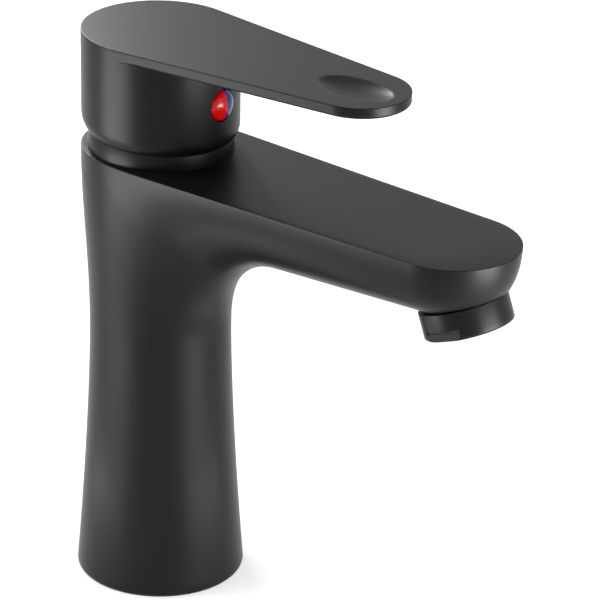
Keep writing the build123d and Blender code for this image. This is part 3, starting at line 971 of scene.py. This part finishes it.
# Material slot: name, colour, roughness, grains per metre, their height in metres, and one for a metal
INNER_FINISHES = {
    "brass": ("turned_brass", (0.72, 0.55, 0.25), 0.30, 1500.0, 6e-6, 1.0),
    "steel": ("brushed_steel", (0.60, 0.60, 0.62), 0.32, 2600.0, 6e-6, 1.0),
    "rubber": ("black_rubber", (0.022, 0.022, 0.022), 0.75, 1800.0, 2e-5, 0.0),
    "white_plastic": ("white_moulding", (0.78, 0.78, 0.76), 0.42, 1200.0, 8e-6, 0.0),
    "ceramic": ("lapped_ceramic", (0.88, 0.87, 0.84), 0.18, 2400.0, 2e-6, 0.0),
    "dark_plastic": ("dark_moulding", (0.03, 0.03, 0.03), 0.5, 1500.0, 8e-6, 0.0),
}


class MIXER_OT_inner(Operator):
    """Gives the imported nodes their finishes"""
    bl_idname = "mixer.inner"
    bl_label = "Inner pieces"

    def execute(self, context):
        slots = {row["node"]: row["material_slot"] for row in frame["record"]["subparts"]}
        for node, piece in frame["nodes"].items():
            if slots[node] in INNER_FINISHES:
                dress(piece, inner_finish(*INNER_FINISHES[slots[node]]))
            else:
                dress(piece, satin_paint(context))
        return {"FINISHED"}


# Studio

FLOOR_POINTS = 9  # points along a side of the floor
FLOOR_CLOUDS = 3.0  # cells of its noise per metre
FLOOR_TONE = 0.99  # its darker tone
SENSOR = 36.0  # width of the camera's sensor in millimetres

# Lamp, turn from the camera and rise in degrees, distance from a point on the column axis,
# height of that point, width and height in metres, and power in watts
LAMPS = (
    ("left_strip", 296.0, 0.0, 0.26, 0.056, (0.19, 0.11), 0.90),
    ("left_low", 286.0, 0.0, 0.082, 0.006, (0.08, 0.011), 0.013),
    ("right_strip", 55.0, 0.0, 0.33, 0.071, (0.16, 0.14), 1.80),
    ("right_low", 62.0, 0.0, 0.086, 0.006, (0.08, 0.011), 0.016),
    ("left_panel", 272.0, 42.0, 0.50, 0.170, (0.24, 0.24), 2.0),
    ("back_panel", 204.0, 27.0, 0.50, 0.170, (0.24, 0.20), 2.6),
    ("top_panel", 0.0, 86.0, 0.60, 0.150, (0.30, 0.30), 0.9),
)


def seen_rays(tree):
    """One for rays from the camera, mirrors and glass, nought for the others."""
    rays = tree.nodes.new("ShaderNodeLightPath")
    seen = rays.outputs["Is Camera Ray"]
    for kind in ("Is Glossy Ray", "Is Transmission Ray"):
        either = tree.nodes.new("ShaderNodeMath")
        either.operation = "MAXIMUM"
        tree.links.new(seen, either.inputs[0])
        tree.links.new(rays.outputs[kind], either.inputs[1])
        seen = either.outputs[0]
    return seen


class MIXER_OT_studio(Operator):
    """Sets up the floor, the lamps, the world and the camera"""
    bl_idname = "mixer.studio"
    bl_label = "Studio"

    def execute(self, context):
        scene = context.scene
        studio = scene.mixer_studio
        self.floor(scene, studio)
        for row in LAMPS:
            self.lamp(scene, studio, *row)
        self.world(scene, studio)
        self.camera(scene, studio)
        scene.view_settings.view_transform = "Standard"
        return {"FINISHED"}

    def floor(self, scene, studio):
        """Pale square. The white that it adds for the camera and for mirrors rises with the distance."""
        edge = np.linspace(-studio.floor_size, studio.floor_size, FLOOR_POINTS)
        x, y = np.meshgrid(edge, edge, indexing="ij")
        floor = bpy.data.objects.new("floor", mesh_of("floor", [np.stack([x, y, 0 * x], axis=-1)]))
        scene.collection.objects.link(floor)
        material, tree, shader, place = principled("pale_floor")
        cloud = noise(tree, place, FLOOR_CLOUDS)
        mixed = tint(tree, cloud, shaded(studio.floor, FLOOR_TONE), studio.floor)
        tree.links.new(mixed, shader.inputs["Base Color"])
        set_inputs(shader, {"Roughness": 0.9, "Specular IOR Level": 0.0, "Emission Color": WHITE})
        away = tree.nodes.new("ShaderNodeVectorMath")
        away.operation = "LENGTH"
        tree.links.new(place, away.inputs[0])
        rise = spread(tree, away.outputs["Value"], studio.floor_glow, studio.far_glow,
                      studio.glow_from, studio.glow_to)
        glow = tree.nodes.new("ShaderNodeMath")
        glow.operation = "MULTIPLY"
        tree.links.new(seen_rays(tree), glow.inputs[0])
        tree.links.new(rise, glow.inputs[1])
        tree.links.new(glow.outputs[0], shader.inputs["Emission Strength"])
        dress(floor, material)

    def lamp(self, scene, studio, name, turn, rise, distance, height, size, power):
        """Area lamp round the column axis, facing it, which the camera doesn't see."""
        bearing = studio.turn - RIGHT_ANGLE + radians(turn)
        flat = cos(radians(rise))
        away = Vector((flat * cos(bearing), flat * sin(bearing), sin(radians(rise))))
        data = bpy.data.lights.new(name, "AREA")
        data.shape = "RECTANGLE"
        data.size, data.size_y = size
        data.energy = power
        lamp = bpy.data.objects.new(name, data)
        scene.collection.objects.link(lamp)
        lamp.location = Vector((0, 0, height)) + distance * away
        lamp.rotation_euler = away.to_track_quat("Z", "Y").to_euler()
        lamp.visible_camera = False

    def world(self, scene, studio):
        """White to the camera and to reflections, a soft grey fill to everything else."""
        world = bpy.data.worlds.new("studio_world")
        world.use_nodes = True
        scene.world = world
        tree = world.node_tree
        fill = tree.nodes["Background"]
        set_inputs(fill, {"Color": WHITE, "Strength": studio.fill})
        white = tree.nodes.new("ShaderNodeBackground")
        set_inputs(white, {"Color": WHITE})
        mix = tree.nodes.new("ShaderNodeMixShader")
        tree.links.new(seen_rays(tree), mix.inputs[0])
        tree.links.new(fill.outputs[0], mix.inputs[1])
        tree.links.new(white.outputs[0], mix.inputs[2])
        tree.links.new(mix.outputs[0], tree.nodes["World Output"].inputs["Surface"])

    def camera(self, scene, studio):
        """Camera on a sphere round the point that it looks at, rolled about its own axis."""
        flat = cos(studio.tilt)
        back = Vector((sin(studio.turn) * flat, -cos(studio.turn) * flat, sin(studio.tilt)))
        level = Vector((cos(studio.turn), sin(studio.turn), 0))
        upright = back.cross(level)
        right = cos(studio.roll) * level + sin(studio.roll) * upright
        up = cos(studio.roll) * upright - sin(studio.roll) * level
        data = bpy.data.cameras.new("camera")
        data.lens = studio.lens
        data.sensor_width = SENSOR
        camera = bpy.data.objects.new("camera", data)
        scene.collection.objects.link(camera)
        place = Matrix((right, up, back)).transposed().to_4x4()
        place.translation = Vector((studio.aim_x, 0, studio.aim_z)) + studio.distance * back
        camera.matrix_world = place
        scene.camera = camera


class MIXER_PT_panel(Panel):
    """Lists the operators in the sidebar"""
    bl_idname = "MIXER_PT_panel"
    bl_label = "Basin mixer"
    bl_space_type = "VIEW_3D"
    bl_region_type = "UI"
    bl_category = "Mixer"

    def draw(self, context):
        for operator in OPERATORS:
            self.layout.operator(operator.bl_idname)


OPERATORS = (MIXER_OT_inner, MIXER_OT_body, MIXER_OT_collar, MIXER_OT_outlet, MIXER_OT_handle,
             MIXER_OT_index, MIXER_OT_studio)
GROUPS = {
    "mixer_body": MixerBodySizes,
    "mixer_outlet": MixerOutletSizes,
    "mixer_handle": MixerHandleSizes,
    "mixer_collar": MixerCollarSizes,
    "mixer_finishes": MixerFinishes,
    "mixer_studio": MixerStudio,
}


def register():
    """Registers the classes and hangs the groups of sizes on the scene."""
    for group in GROUPS.values():
        bpy.utils.register_class(group)
    for name, group in GROUPS.items():
        setattr(bpy.types.Scene, name, PointerProperty(type=group))
    for operator in OPERATORS:
        bpy.utils.register_class(operator)
    bpy.utils.register_class(MIXER_PT_panel)


def unregister():
    """Takes back what register did."""
    bpy.utils.unregister_class(MIXER_PT_panel)
    for operator in reversed(OPERATORS):
        bpy.utils.unregister_class(operator)
    for name in GROUPS:
        delattr(bpy.types.Scene, name)
    for group in GROUPS.values():
        bpy.utils.unregister_class(group)


def main():
    register()
    for build in (bpy.ops.mixer.inner, bpy.ops.mixer.body, bpy.ops.mixer.collar, bpy.ops.mixer.outlet,
                  bpy.ops.mixer.handle, bpy.ops.mixer.index, bpy.ops.mixer.studio):
        build()


if __name__ == "__main__":
    main()
